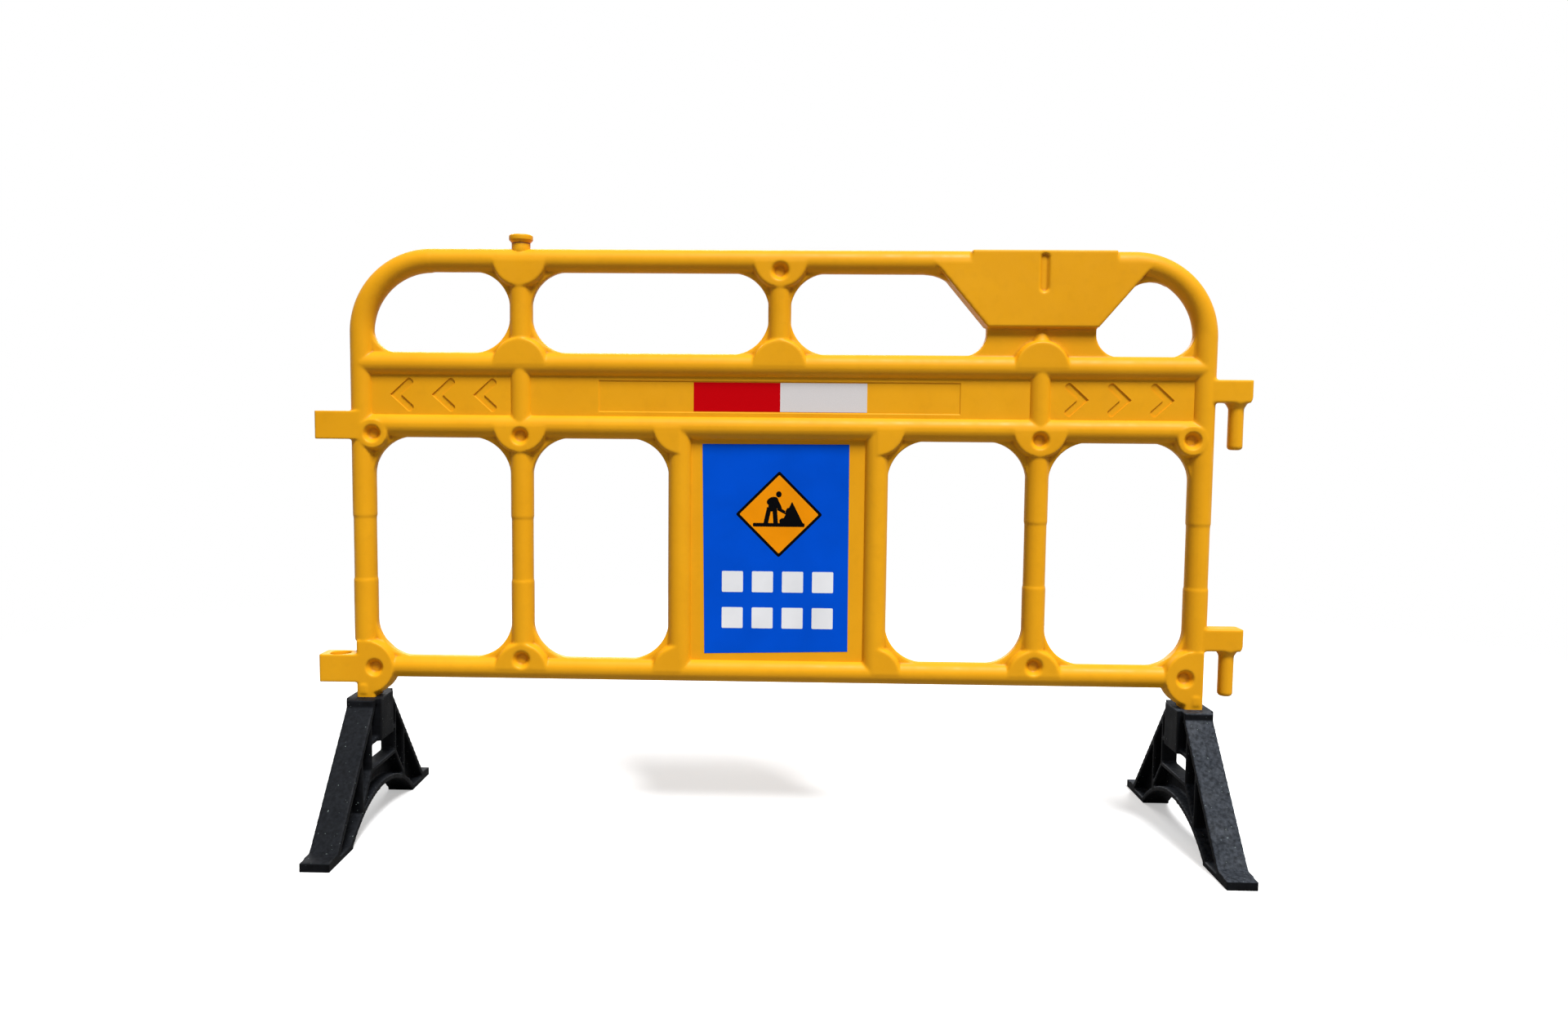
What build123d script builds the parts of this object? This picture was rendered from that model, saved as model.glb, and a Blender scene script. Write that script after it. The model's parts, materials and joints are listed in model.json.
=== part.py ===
from build123d import *
import os
from math import atan2, cos, degrees, hypot, sin, tan

# Plastic safety barrier: a hollow yellow panel of round tubes on two black A-frame feet.
# X runs along the barrier, the front faces -Y and Z is up. The origin is on the floor,
# midway between the posts. All sizes are in millimetres.

# Panel: overall sizes
PANEL_WIDTH = 1500.0        # over the two posts
PANEL_TOP = 1013.0          # floor to the crown of the top rail
BEND_RADIUS = 146.0         # outside of the top corner bends
WALL = 3.5                  # wall of the hollow moulding

# Panel: tubes
POST_DIA = 41.5
TOP_RAIL_DIA = 40.5
BAND_RAIL_DIA = 42.5
BOTTOM_RAIL_DIA = 40.0
UPRIGHT_DIA = 40.0
SIGN_UPRIGHT_DIA = 41.5
WAIST_STEP = 1.1            # how far the waist of a tube is set in
WAIST_RISE = 155.0          # axis of the bottom rail to the lower ring step
WAIST_LENGTH = 113.0

# Panel: heights and spacings of the tube axes
TOP_ROW = 199.0             # crown of the top rail down to the upper band rail
BAND_HEIGHT = 107.0         # upper band rail down to the lower one
BOTTOM_RAIL_RISE = 53.0     # top of a foot up to the bottom rail
UPRIGHT_X = 449.0           # outer uprights, each side of the middle
SIGN_UPRIGHT_X = 171.0      # uprights beside the sign

# Panel: bosses where tubes meet
BOSS_RADIUS = 44.5          # at the face
BOSS_RIM = 4.5              # how much wider a boss is at its root
BOSS_PROUD = 0.6            # boss face in front of its tube
CORNER_BOSS_RADIUS = 25.0
CORNER_BOSS_INSET = 42.0    # from the outside of the post
CORNER_BOSS_DROP = 15.0     # below the axis of the lower band rail
FOOT_BOSS_RADIUS = 46.5
FOOT_BOSS_INSET = 26.3      # from the outside of the post
DIMPLE_MOUTH = 16.0         # radius at the face
DIMPLE_FLOOR = 9.0          # radius at the bottom
DIMPLE_DEPTH = 11.0
DIMPLE_SHIFT = 17.0         # from the tube axis towards the boss's rim
FOOT_DIMPLE_INSET = 40.0    # from the outside of the post

# Panel: webs in the corners of the windows
WEB_THICKNESS = 16.0
LOW_WEB_RADIUS = 70.0       # windows of the lower row
TOP_WEB_RADIUS = 65.0       # windows of the top row
POST_WEB_RADIUS = 43.0      # where the upper band rail meets a post
WEB_BITE = 1.5              # how far a corner arc runs into its tubes

# Panel: recessed flat panels
BAND_PANEL_THICKNESS = 20.0
SIGN_PANEL_THICKNESS = 12.0
CHEVRON_PITCH = 73.0
CHEVRON_FIRST = 72.0        # outside of the post to the first chevron's tip
CHEVRON_COUNT = 3
CHEVRON_REACH = 34.0        # tip to the end of an arm, along X
CHEVRON_HALF_HEIGHT = 31.0
CHEVRON_ARM = 13.0          # width of an arm
CHEVRON_ROUND = 5.0         # at the ends of an arm
CHEVRON_DEPTH = 2.4
TAPE_BED_LENGTH = 625.0     # shallow bed in the middle panel
TAPE_BED_HEIGHT = 54.0
TAPE_BED_DEPTH = 1.6

# Panel: lamp plate
LAMP_TOP_WIDTH = 245.0
LAMP_SHOULDER_WIDTH = 374.0
LAMP_FOOT_WIDTH = 188.0
LAMP_HEIGHT = 130.0
LAMP_WEB_WIDTH = 186.0
LAMP_WEB_THICKNESS = 18.0
LAMP_WEB_RADIUS = 40.0
LAMP_CORNER_RADIUS = 52.0   # window between the plate and the right bend
LAMP_CORNER_DROP = 10.5     # top of that window below the underside of the rail
LAMP_STUB_DIA = 35.0        # at the boss
LAMP_STUB_TOP_DIA = 18.0    # at the plate
SLOT_WIDTH = 15.0
SLOT_LENGTH = 65.0
SLOT_DEPTH = 5.0
SLOT_DROP = 38.0            # top of the plate to the slot's middle

# Panel: links to the next barrier
LINK_REACH = 59.0           # ends of lugs and hooks, out from the post
LUG_AXIS = 27.5             # axis of a lug's hole, out from the post
LINK_GAP = 5.0              # end of a lug to the post of the next barrier, when linked
LUG_HEIGHT = 49.0
LUG_DEPTH = 43.0
LUG_ROUND = 4.0             # round on the upright corners
LUG_HOLE_DIA = 36.0
UPPER_LUG_DROP = 25.0       # axis of the lower band rail down to the lug's underside
LOWER_LUG_DROP = 27.0       # axis of the bottom rail down to the lug's underside
HOOK_HEIGHT = 39.0
HOOK_DEPTH = 37.0
HOOK_ROUND = 5.0            # round on the block's outer corners
HOOK_BEVEL = 4.0            # slant under the block's outer end, along X
HOOK_BEVEL_HEIGHT = 8.0
HOOK_LIFT = 26.5            # underside of a hook block above the top of its lug
PIN_DIA = 25.5
PIN_LENGTH = 81.0
PIN_TIP = 6.0               # round on the pin's tip
PIN_FLARE = 10.0            # height of the flare from pin to block

# Panel: filler neck and cap
NECK_DIA = 32.0
NECK_BORE_DIA = 24.0
NECK_HEIGHT = 8.0           # above the crown of the top rail
CAP_DIA = 41.0
CAP_HEIGHT = 13.5
CAP_TAPER = 5.0             # height of the taper under the head
CAP_ROUND = 3.0
CAP_STEM_LENGTH = 16.0
STEM_CLEARANCE = 0.3
SEAL_THICKNESS = 2.0

# Films stuck on the front
FILM_THICKNESS = 0.4
TAPE_HALF_LENGTH = 150.0    # each of the red and the white film
TAPE_HEIGHT = 50.0
TAPE_SHIFT = 2.5            # stuck on a little to the right
SIGN_SIDE = 24.25           # bare panel beside the sign
SIGN_BELOW = 13.5           # bare panel under the sign
SIGN_ABOVE = 9.25           # bare panel over the sign

# Feet
FOOT_LENGTH = 500.0
FOOT_WIDTH = 48.0
FOOT_HEIGHT = 226.0
FOOT_INSET = 24.0           # middle of a foot, in from the outside of the post
COLLAR_LENGTH = 98.0
COLLAR_FACE = 12.5          # upright face at the top of each strap
TOE_FACE = 14.5             # upright face at the tip of each toe
TOE_LENGTH = 38.0           # flat top of a toe
TOE_RISE = 3.5
ARCH_SPAN = 298.0
ARCH_HEIGHT = 61.0
ARCH_STEP = 4.0             # upright start of the arch
FLANGE = 9.5                # thickness of straps and arch
FOOT_WEB = 7.0
RIB = 7.0                   # ribs stand on the side towards the middle of the barrier
INNER_RIB_Y = 60.0
OUTER_RIB_Y = 104.0
BRACE_Z = 105.0
DIAGONAL_END_Z = 49.0
SOCKET_LENGTH = 64.0        # outside of the socket along Y
SOCKET_WIDTH = 62.0         # outside of the socket along X
SOCKET_BOTTOM = 150.0
SOCKET_FLOOR = 8.0
TONGUE_WIDTH = 33.0         # its faces are flush with those of the boss above it
TONGUE_ROUND = 5.0
TONGUE_CLEARANCE = 0.5
LATCH_WIDTH = 11.0          # raised tab on each face of a tongue
LATCH_HEIGHT = 16.0
LATCH_PROUD = 1.5
LATCH_ROUND = 3.5           # on its two upper corners
LATCH_INSET = 20.0          # from the outside of the post
LATCH_LIFT = 6.0            # above the foot

# Places worked out from the sizes above
POST_OUT = PANEL_WIDTH / 2
POST_R = POST_DIA / 2
POST_X = POST_OUT - POST_R
TOP_R = TOP_RAIL_DIA / 2
TOP_RAIL_Z = PANEL_TOP - TOP_R
BAND_TOP_Z = PANEL_TOP - TOP_ROW
BAND_BOTTOM_Z = BAND_TOP_Z - BAND_HEIGHT
BOTTOM_RAIL_Z = FOOT_HEIGHT + BOTTOM_RAIL_RISE
WAIST_BOTTOM = BOTTOM_RAIL_Z + WAIST_RISE
WAIST_TOP = WAIST_BOTTOM + WAIST_LENGTH
BEND_MID_R = BEND_RADIUS - POST_R
BEND_X = POST_OUT - BEND_RADIUS
BEND_Z = PANEL_TOP - BEND_RADIUS
BAND_R = BAND_RAIL_DIA / 2
BOTTOM_R = BOTTOM_RAIL_DIA / 2
UPRIGHT_R = UPRIGHT_DIA / 2
SIGN_R = SIGN_UPRIGHT_DIA / 2
WEB_Y = WEB_THICKNESS / 2
BAND_Y = BAND_PANEL_THICKNESS / 2
SIGN_Y = SIGN_PANEL_THICKNESS / 2
LAMP_X = UPRIGHT_X
LAMP_Y = TOP_R + BOSS_PROUD
LAMP_BOTTOM = PANEL_TOP - LAMP_HEIGHT
BAND_MID_Z = (BAND_TOP_Z + BAND_BOTTOM_Z) / 2
FOOT_X = POST_OUT - FOOT_INSET
TONGUE_BOTTOM = SOCKET_BOTTOM + SOCKET_FLOOR
CAP_SEAT = PANEL_TOP + NECK_HEIGHT + SEAL_THICKNESS
PIN_AXIS = LINK_REACH - LUG_AXIS + LINK_GAP
LUG_BOTTOM_UPPER = BAND_BOTTOM_Z - UPPER_LUG_DROP
LUG_BOTTOM_LOWER = BOTTOM_RAIL_Z - LOWER_LUG_DROP
SIGN_X = SIGN_UPRIGHT_X - SIGN_R - SIGN_SIDE
SIGN_BOTTOM = BOTTOM_RAIL_Z + BOTTOM_R + SIGN_BELOW
SIGN_TOP = BAND_BOTTOM_Z - BAND_R - SIGN_ABOVE
POST_FACE = POST_R + BOSS_PROUD
TONGUE_TOP = BOTTOM_RAIL_Z + FOOT_BOSS_RADIUS
POST_DIMPLES = [(POST_OUT - CORNER_BOSS_INSET, BAND_BOTTOM_Z - CORNER_BOSS_DROP),
                (POST_OUT - FOOT_DIMPLE_INSET, BOTTOM_RAIL_Z)]


# Plain shapes

def box(x0, x1, y0, y1, z0, z1):
    """A block between two corners."""
    middle = Pos((x0 + x1) / 2, (y0 + y1) / 2, (z0 + z1) / 2)
    return middle * Box(abs(x1 - x0), abs(y1 - y0), abs(z1 - z0))


def rod_x(x0, x1, z, radius):
    """A round bar along the barrier."""
    return Pos((x0 + x1) / 2, 0, z) * Rot(0, 90, 0) * Cylinder(radius, x1 - x0)


def rod_z(x, z0, z1, radius):
    """An upright round bar."""
    return Pos(x, 0, (z0 + z1) / 2) * Cylinder(radius, z1 - z0)


def disc(x, z, radius, half_depth):
    """A plain round that faces front and back."""
    return Pos(x, 0, z) * Rot(90, 0, 0) * Cylinder(radius, 2 * half_depth)


def boss(x, z, radius, half_depth):
    """A round boss that faces front and back and spreads towards the web between its faces."""
    root = radius + BOSS_RIM
    half_section = Polyline((0, half_depth), (radius, half_depth), (root, WEB_Y), (root, -WEB_Y),
                            (radius, -half_depth), (0, -half_depth), close=True)
    return Pos(x, 0, z) * revolve(make_face(half_section), Axis.Y)


def slab(points, half_depth):
    """A plate with a straight-sided outline in X and Z, the same depth front and back."""
    outline = make_face(Polyline(*[(x, z) for x, z in points], close=True))
    return extrude(Plane.XZ * outline, amount=half_depth, both=True)


def dimples(x, z, face_y):
    """The pair of round recesses that pinch the front and back walls together."""
    pair = []
    for side in (-1, 1):
        middle_y = side * (face_y - DIMPLE_DEPTH / 2)
        pair.append(Pos(x, middle_y, z) * Rot(-90 * side, 0, 0)
                    * Cone(DIMPLE_FLOOR, DIMPLE_MOUTH, DIMPLE_DEPTH))
    return pair


def dimple_core(x, z, half_depth):
    """The plastic left round a pair of dimples inside a hollow boss."""
    return disc(x, z, DIMPLE_MOUTH + WALL, half_depth)


def cut(shape, cutters):
    """Take several shapes away from one."""
    for cutter in cutters:
        shape = shape - cutter
    return shape


def solids_of(shape):
    """The solids of a shape, largest first, without crumbs left by cutting."""
    crumb = 1.0
    found = sorted(shape.solids(), key=lambda solid: solid.volume, reverse=True)
    return [solid for solid in found if solid.volume > crumb]


# Rails with their bosses

def part_boss(x, z, radius, half_depth, up, hand=0):
    """Half a boss above or below a rail, or the quarter of it on one hand of an upright."""
    reach = radius + BOSS_RIM
    low, high = (z, z + reach) if up else (z - reach, z)
    left = x if hand > 0 else x - reach
    right = x if hand < 0 else x + reach
    return boss(x, z, radius, half_depth) & box(left, right, -half_depth, half_depth, low, high)


def rail_outside(x0, x1, z, radius, bosses):
    """A rail and its bosses without their hollows, to trim whatever meets them."""
    shape = rod_x(x0, x1, z, radius)
    for x, up, hand, _ in bosses:
        shape = shape + part_boss(x, z, BOSS_RADIUS, radius + BOSS_PROUD, up, hand)
    return shape


def rail(x0, x1, z, radius, bosses, neighbours):
    """A hollow rail, dented where a boss is dimpled and trimmed to what it runs into."""
    inside = rod_x(x0, x1, z, radius - WALL)
    recesses = []
    for x, up, _, dimpled in bosses:
        if dimpled:
            inside = inside - dimple_core(x, dimple_z(z, up), radius)
            recesses += dimples(x, dimple_z(z, up), radius + BOSS_PROUD)
    return cut(cut(rod_x(x0, x1, z, radius), neighbours) - inside, recesses)


def rail_bosses(z, radius, bosses):
    """The bosses of one rail, each a hollow part of a round that fits round the rail."""
    depth = radius + BOSS_PROUD
    pieces = []
    for x, up, hand, dimpled in bosses:
        shape = part_boss(x, z, BOSS_RADIUS, depth, up, hand)
        inside = part_boss(x, z, BOSS_RADIUS - WALL, depth - WALL, up, hand)
        tube = rod_x(x - 2 * BOSS_RADIUS, x + 2 * BOSS_RADIUS, z, radius)
        dimple = (x, dimple_z(z, up)) if dimpled else None
        pieces.append(hollow_boss(shape, inside, tube, dimple, depth))
    return pieces


def hollow_boss(outside, inside, tube, dimple, face_y):
    """A boss trimmed to its tube, with a solid column round its pair of dimples."""
    if dimple is None:
        return outside - tube - inside
    shape = outside - tube - (inside - dimple_core(*dimple, face_y))
    return cut(shape, dimples(*dimple, face_y))


def dimple_z(z, up):
    """Height of a dimple on a part boss."""
    return z + DIMPLE_SHIFT if up else z - DIMPLE_SHIFT


# Posts, bends and uprights

def waisted_rod(x, z0, z1, radius):
    """An upright bar that is set in between the two ring steps."""
    return (rod_z(x, z0, WAIST_BOTTOM, radius)
            + rod_z(x, WAIST_BOTTOM, WAIST_TOP, radius - WAIST_STEP)
            + rod_z(x, WAIST_TOP, z1, radius))


def post_tube(inset=0.0):
    """The right post with its foot tongue, as one bar; a set-in copy of it is the hollow."""
    half_width = TONGUE_WIDTH / 2 - inset
    half_depth = POST_FACE - inset
    top = TONGUE_TOP - inset
    tongue = box(FOOT_X - half_width, FOOT_X + half_width, -half_depth, half_depth,
                 TONGUE_BOTTOM + inset, top)
    tongue = fillet(tongue.edges().filter_by(Axis.Z), TONGUE_ROUND - inset)
    return waisted_rod(POST_X, top, BEND_Z, POST_R - inset) + tongue


def latches():
    """The raised tabs on the right tongue, front and back, with a rounded top."""
    x = POST_OUT - LATCH_INSET
    bottom = FOOT_HEIGHT + LATCH_LIFT
    reach = POST_FACE + LATCH_PROUD
    tab = box(x - LATCH_WIDTH / 2, x + LATCH_WIDTH / 2, -reach, reach, bottom, bottom + LATCH_HEIGHT)
    tab = fillet(tab.edges().filter_by(Axis.Y).group_by(Axis.Z)[-1], LATCH_ROUND)
    return tab - box(x - LATCH_WIDTH, x + LATCH_WIDTH, WALL - POST_FACE, POST_FACE - WALL,
                     bottom, bottom + LATCH_HEIGHT)


def corner_boss(radius, face_y):
    """The round boss where the lower band rail meets the right post."""
    return boss(POST_OUT - CORNER_BOSS_INSET, BAND_BOTTOM_Z - CORNER_BOSS_DROP, radius, face_y)


def foot_boss(radius, face_y):
    """The large boss above the right foot, on the inner side of its tongue."""
    x = POST_OUT - FOOT_BOSS_INSET
    reach = 2 * radius
    return boss(x, BOTTOM_RAIL_Z, radius, face_y) & box(
        x - reach, FOOT_X, -face_y, face_y, BOTTOM_RAIL_Z - reach, BOTTOM_RAIL_Z + reach)


def post_outside():
    """The right post and its bosses without their hollows, to trim whatever meets them."""
    return (post_tube() + corner_boss(CORNER_BOSS_RADIUS, POST_FACE)
            + foot_boss(FOOT_BOSS_RADIUS, POST_FACE))


def post():
    """The hollow right post, dented where its bosses are dimpled."""
    inside = post_tube(WALL)
    for dimple in POST_DIMPLES:
        inside = inside - dimple_core(*dimple, POST_R)
    shape = post_tube() - inside + latches()
    for dimple in POST_DIMPLES:
        shape = cut(shape, dimples(*dimple, POST_FACE))
    return shape


def post_bosses():
    """The two bosses of the right post, hollow and fitted round it."""
    straight = rod_z(POST_X, TONGUE_TOP, BEND_Z, POST_R)
    sets = ((corner_boss, CORNER_BOSS_RADIUS, straight), (foot_boss, FOOT_BOSS_RADIUS, post_tube()))
    return [hollow_boss(make(radius, POST_FACE), make(radius - WALL, POST_FACE - WALL),
                        tube, dimple, POST_FACE)
            for (make, radius, tube), dimple in zip(sets, POST_DIMPLES)]


def on_side(hand, shape):
    """A shape of the right side, or its mirror image for the left."""
    return shape if hand > 0 else mirror(shape, about=Plane.YZ)


def bend_outside(inset=0.0):
    """The right quarter bend from post to top rail, as one bar; a set-in copy is the hollow."""
    ring = Pos(BEND_X, 0, BEND_Z) * Rot(90, 0, 0) * Torus(BEND_MID_R, POST_R - inset)
    return ring & box(BEND_X, POST_OUT, -POST_R, POST_R, BEND_Z, PANEL_TOP)


def right_bend(plate):
    """The right bend, with the short straight run of it that goes into the lamp plate."""
    run = (LAMP_X, BEND_X, BEND_Z + BEND_MID_R)
    shape = bend_outside() + rod_x(*run, POST_R) - plate
    return shape - bend_outside(WALL) - rod_x(*run, POST_R - WALL)


def upright(x, z0, z1, radius, neighbours, waisted=False):
    """A finished hollow upright between two rails."""
    build = waisted_rod if waisted else rod_z
    return cut(build(x, z0, z1, radius), neighbours) - build(x, z0, z1, radius - WALL)


# Flat pieces

def hollow_panel(x0, x1, z0, z1, half_depth, neighbours):
    """A recessed flat panel with a front wall, a back wall and a space between them."""
    shape = cut(box(x0, x1, -half_depth, half_depth, z0, z1), neighbours)
    bounds = shape.bounding_box()
    space = box(bounds.min.X + 2 * WALL, bounds.max.X - 2 * WALL, WALL - half_depth,
                half_depth - WALL, bounds.min.Z + 2 * WALL, bounds.max.Z - 2 * WALL)
    return shape - space


def chevron(tip_x, hand):
    """One arrow-shaped recess; the tip points away from the middle of the barrier."""
    arm_length = hypot(CHEVRON_REACH, CHEVRON_HALF_HEIGHT)
    across_x = CHEVRON_ARM * CHEVRON_HALF_HEIGHT / arm_length
    across_z = CHEVRON_ARM * CHEVRON_REACH / arm_length
    inner_tip = CHEVRON_ARM * arm_length / CHEVRON_HALF_HEIGHT
    side = [(0, 0), (CHEVRON_REACH, CHEVRON_HALF_HEIGHT),
            (CHEVRON_REACH + across_x, CHEVRON_HALF_HEIGHT - across_z), (inner_tip, 0)]
    other_side = [(x, -z) for x, z in reversed(side[1:3])]
    outline = [(tip_x - hand * x, BAND_MID_Z + z) for x, z in side + other_side]
    shape = slab(outline, CHEVRON_DEPTH)
    upright_edges = shape.edges().filter_by(Axis.Y).sort_by(Axis.Z)
    return Pos(0, -BAND_Y, 0) * fillet(upright_edges[:2] + upright_edges[-2:], CHEVRON_ROUND)


def corner_web(corner_x, corner_z, hand_x, hand_z, radius, half_depth):
    """A web in one corner of a window; the hands point from the corner into the window."""
    reach = radius - WEB_BITE
    behind = POST_R
    plate = box(corner_x - hand_x * behind, corner_x + hand_x * reach, -half_depth, half_depth,
                corner_z - hand_z * behind, corner_z + hand_z * reach)
    return plate - disc(corner_x + hand_x * reach, corner_z + hand_z * reach, radius, 2 * half_depth)


def window_webs(corners, neighbours):
    """The webs of one window, trimmed to the tubes and bosses round it."""
    pieces = []
    for x, z, hand_x, hand_z, radius in corners:
        plate = cut(corner_web(x, z, hand_x, hand_z, radius, WEB_Y), neighbours)
        pieces.append(solids_of(plate)[0])
    return pieces


# Lamp plate

def lamp_outline(inset):
    """Outline of the lamp plate: a square-topped part on a trapezium."""
    top = LAMP_TOP_WIDTH / 2 - inset
    shoulder = LAMP_SHOULDER_WIDTH / 2 - inset
    foot = LAMP_FOOT_WIDTH / 2 - inset
    right = [(top, PANEL_TOP - inset), (top, TOP_RAIL_Z - inset), (shoulder - inset, TOP_RAIL_Z - inset),
             (foot, LAMP_BOTTOM + inset)]
    left = [(-x, z) for x, z in reversed(right)]
    return [(LAMP_X + x, z) for x, z in right + left]


def lamp_plate():
    """The flat plate at the top right, with the upright groove that locates a warning lamp."""
    slot_z = PANEL_TOP - SLOT_DROP
    straight = (SLOT_LENGTH - SLOT_WIDTH) / 2

    def slot_shape(grow, y0, y1):
        half = SLOT_WIDTH / 2 + grow
        shape = box(LAMP_X - half, LAMP_X + half, y0, y1, slot_z - straight, slot_z + straight)
        for end in (-1, 1):
            round_end = disc(LAMP_X, slot_z + end * straight, half, LAMP_Y)
            shape = shape + (round_end & box(LAMP_X - half, LAMP_X + half, y0, y1,
                                             slot_z - SLOT_LENGTH, slot_z + SLOT_LENGTH))
        return shape
    inside = slab(lamp_outline(WALL), LAMP_Y - WALL) - slot_shape(WALL, -LAMP_Y, LAMP_Y)
    return slab(lamp_outline(0), LAMP_Y) - inside - slot_shape(0, -LAMP_Y, SLOT_DEPTH - LAMP_Y)


def lamp_web(neighbours):
    """The thin web under the lamp plate, flared onto the band rail, with a short round stub."""
    half = LAMP_WEB_WIDTH / 2 + LAMP_WEB_RADIUS
    half_depth = LAMP_WEB_THICKNESS / 2
    arc_z = BAND_TOP_Z + BAND_R + LAMP_WEB_RADIUS - WEB_BITE
    plate = box(LAMP_X - half, LAMP_X + half, -half_depth, half_depth, BAND_TOP_Z, LAMP_BOTTOM)
    for hand in (-1, 1):
        plate = plate - disc(LAMP_X + hand * half, arc_z, LAMP_WEB_RADIUS, LAMP_WEB_THICKNESS)
        side_x = LAMP_X + hand * LAMP_WEB_WIDTH / 2
        plate = plate - box(side_x, side_x + hand * 2 * half, -half_depth, half_depth, arc_z, LAMP_BOTTOM)
    boss_top = BAND_TOP_Z + BOSS_RADIUS
    stub = rod_z(LAMP_X, BAND_TOP_Z, boss_top, LAMP_STUB_DIA / 2)
    neck = Pos(LAMP_X, 0, (boss_top + LAMP_BOTTOM) / 2) * Cone(
        LAMP_STUB_DIA / 2, LAMP_STUB_TOP_DIA / 2, LAMP_BOTTOM - boss_top)
    return cut(plate + stub + neck, neighbours)


def lamp_corner_web(hand, radius, top, overrun, neighbours):
    """The web between the slant of the plate and the tube above, on one hand of the plate.

    Its arc touches the slant and rises to the given top; the overrun carries it on past there.
    """
    slant = atan2(TOP_RAIL_Z - LAMP_BOTTOM, (LAMP_SHOULDER_WIDTH - LAMP_FOOT_WIDTH) / 2)
    z = top - radius
    edge = LAMP_FOOT_WIDTH / 2 + (z - LAMP_BOTTOM) / tan(slant)
    reach = edge + radius / sin(slant)
    plate = box(LAMP_X, LAMP_X + hand * (reach + overrun), -WEB_Y, WEB_Y,
                z + radius * cos(slant), TOP_RAIL_Z)
    plate = plate - disc(LAMP_X + hand * reach, z, radius, WEB_THICKNESS)
    return solids_of(cut(plate, neighbours))[0]


# Links to the next barrier

def link_lug(bottom, neighbours):
    """A lug on the left post with an upright hole for the next barrier's pin."""
    hole_x = -POST_OUT - LUG_AXIS
    block = box(-POST_OUT - LINK_REACH, -POST_X, -LUG_DEPTH / 2, LUG_DEPTH / 2, bottom, bottom + LUG_HEIGHT)
    outer_edges = block.edges().filter_by(Axis.Z).group_by(Axis.X)[0]
    block = fillet(outer_edges, LUG_ROUND)
    return cut(block, neighbours) - rod_z(hole_x, bottom, bottom + LUG_HEIGHT, LUG_HOLE_DIA / 2)


def link_hook(lug_bottom, neighbours):
    """A block on the right post with a pin that drops into the next barrier's lug."""
    bottom = lug_bottom + LUG_HEIGHT + HOOK_LIFT
    block = box(POST_X, POST_OUT + LINK_REACH, -HOOK_DEPTH / 2, HOOK_DEPTH / 2, bottom, bottom + HOOK_HEIGHT)
    outer_edges = block.edges().filter_by(Axis.Z).group_by(Axis.X)[-1]
    block = fillet(outer_edges, HOOK_ROUND)
    end_x = POST_OUT + LINK_REACH
    block = block - slab([(end_x, bottom + HOOK_BEVEL_HEIGHT), (end_x, bottom), (end_x - HOOK_BEVEL, bottom)],
                         HOOK_DEPTH)
    pin_x = POST_OUT + PIN_AXIS
    pin = rod_z(pin_x, bottom - PIN_LENGTH, bottom, PIN_DIA / 2)
    tip = pin.edges().filter_by(GeomType.CIRCLE).sort_by(Axis.Z)[0]
    flare = Pos(pin_x, 0, bottom - PIN_FLARE / 2) * Cone(PIN_DIA / 2, HOOK_DEPTH / 2, PIN_FLARE)
    return cut(block + fillet(tip, PIN_TIP) + flare, neighbours)


# Filler neck and cap

def filler_neck(neighbours):
    """The moulded spout on the top rail, open down into the hollow of the rail."""
    top = PANEL_TOP + NECK_HEIGHT
    spout = rod_z(-UPRIGHT_X, TOP_RAIL_Z, top, NECK_DIA / 2)
    return cut(spout, neighbours) - neck_bore(top)


def neck_bore(top):
    """The way in through the neck and the wall of the rail."""
    return rod_z(-UPRIGHT_X, TOP_RAIL_Z, top, NECK_BORE_DIA / 2)


def filler_cap():
    """A push-in cap: a head that tapers to the neck, on a stem that fits it."""
    head = rod_z(-UPRIGHT_X, CAP_SEAT + CAP_TAPER, CAP_SEAT + CAP_HEIGHT, CAP_DIA / 2)
    head = fillet(head.edges().filter_by(GeomType.CIRCLE).sort_by(Axis.Z)[-1], CAP_ROUND)
    taper = Pos(-UPRIGHT_X, 0, CAP_SEAT + CAP_TAPER / 2) * Cone(NECK_DIA / 2, CAP_DIA / 2, CAP_TAPER)
    stem = rod_z(-UPRIGHT_X, CAP_SEAT - CAP_STEM_LENGTH, CAP_SEAT, NECK_BORE_DIA / 2 - STEM_CLEARANCE)
    return head + taper + stem


def cap_seal():
    """The flat ring between the neck's rim and the cap's head."""
    rim = PANEL_TOP + NECK_HEIGHT
    ring = rod_z(-UPRIGHT_X, rim, CAP_SEAT, NECK_DIA / 2)
    return ring - rod_z(-UPRIGHT_X, rim, CAP_SEAT, NECK_BORE_DIA / 2)


# Feet

def foot_outline():
    """Side view of a foot, in Y and Z: collar, sloping straps, flat toes and the arch."""
    collar = COLLAR_LENGTH / 2
    tip = FOOT_LENGTH / 2
    arch = ARCH_SPAN / 2
    toe_back = (tip - TOE_LENGTH, TOE_FACE + TOE_RISE)
    right = [(collar, FOOT_HEIGHT), (collar, FOOT_HEIGHT - COLLAR_FACE), toe_back, (tip, TOE_FACE),
             (tip, 0), (arch, 0), (arch, ARCH_STEP)]
    left = [(-y, z) for y, z in reversed(right)]
    sides = Polyline(*right) + Polyline(*left) + Line(left[-1], right[0])
    crown = ThreePointArc(right[-1], (0, ARCH_HEIGHT), left[0])
    return make_face(sides + crown)


def across(outline, width):
    """A side view drawn in Y and Z, given a width along X."""
    return extrude(Plane.YZ * outline, amount=width / 2, both=True)


def strut(start, end, width):
    """A straight rib between two points of the side view."""
    length = hypot(end[0] - start[0], end[1] - start[1])
    middle = Pos(0, (start[0] + end[0]) / 2, (start[1] + end[1]) / 2)
    turn = degrees(atan2(end[1] - start[1], end[0] - start[0]))
    return middle * Rot(turn, 0, 0) * Box(width, length, RIB)


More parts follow.
